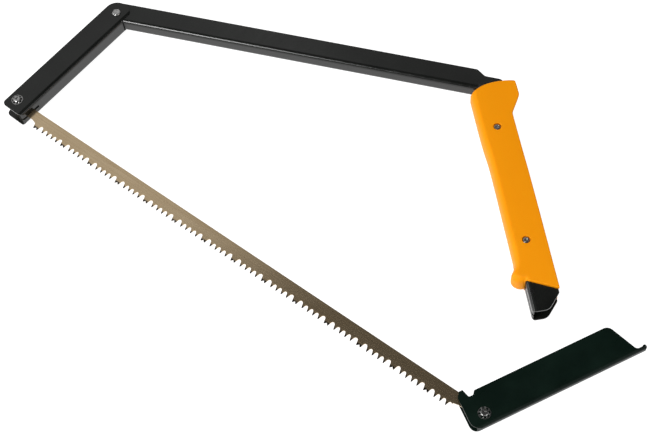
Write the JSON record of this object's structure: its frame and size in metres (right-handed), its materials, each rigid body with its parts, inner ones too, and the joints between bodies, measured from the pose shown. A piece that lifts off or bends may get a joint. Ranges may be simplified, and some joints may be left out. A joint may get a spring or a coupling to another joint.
{
  "type": "folding bow saw",
  "caption": "Folding bow saw with a channel-section frame, a moulded pistol-angle grip, a toothed blade and a swinging tension lever, shown open and untensioned.",
  "frame": {"origin": "centre of the bounding box, at the plane the saw lies on", "axes": "+X along the top bar from the front pivot to the handle pivot, +Y towards the bar's open outer side, +Z normal to the plane of the saw"},
  "size_m": [0.7111, 0.3966, 0.0264],
  "materials": {
    "black_channel": "satin black",
    "lacquered_blade": "bronze lacquer with bright ground teeth",
    "grip_plastic": "yellow-orange moulded plastic",
    "bright_steel": "zinc plated",
    "dark_steel": "blackened",
    "slip_plastic": "natural nylon"
  },
  "bodies": {
    "bar": {"top_bar": "black_channel", "front_pivot_rivets": "bright_steel", "front_slip_washers": "slip_plastic", "handle_pivot_rivets": "black_channel", "handle_slip_washers": "slip_plastic"},
    "arm": {"front_arm": "black_channel", "blade_front_screw": "bright_steel", "blade_front_nut": "bright_steel", "blade_front_washers": "bright_steel", "blade_front_spacers": "bright_steel"},
    "handle": {"handle_channel": "black_channel", "grip": "grip_plastic", "grip_screws": "bright_steel", "fulcrum_studs": "dark_steel"},
    "blade": {"saw_blade": "lacquered_blade"},
    "lever": {"tension_lever": "black_channel", "blade_rear_screw": "bright_steel", "blade_rear_nut": "bright_steel", "blade_rear_washers": "bright_steel", "blade_rear_spacers": "bright_steel"}
  },
  "joints": [
    {"name": "arm_fold", "type": "hinge", "parent": "bar", "child": "arm", "pos_m": [-0.27649, 0.18276, 0.0132], "axis": [0, 0, 1], "range_deg": [-67.4, 0]},
    {"name": "handle_fold", "type": "hinge", "parent": "bar", "child": "handle", "pos_m": [0.15251, 0.18276, 0.0132], "axis": [0, 0, 1], "range_deg": [0, 245.4]},
    {"name": "blade_swing", "type": "hinge", "parent": "arm", "child": "blade", "pos_m": [-0.34189, 0.04554, 0.0132], "axis": [0, 0, 1], "range_deg": [-270.5, 14.1]},
    {"name": "lever_swing", "type": "hinge", "parent": "blade", "child": "lever", "pos_m": [0.22051, -0.18283, 0.0132], "axis": [0, 0, 1], "range_deg": [-62.9, 58.7]}
  ]
}
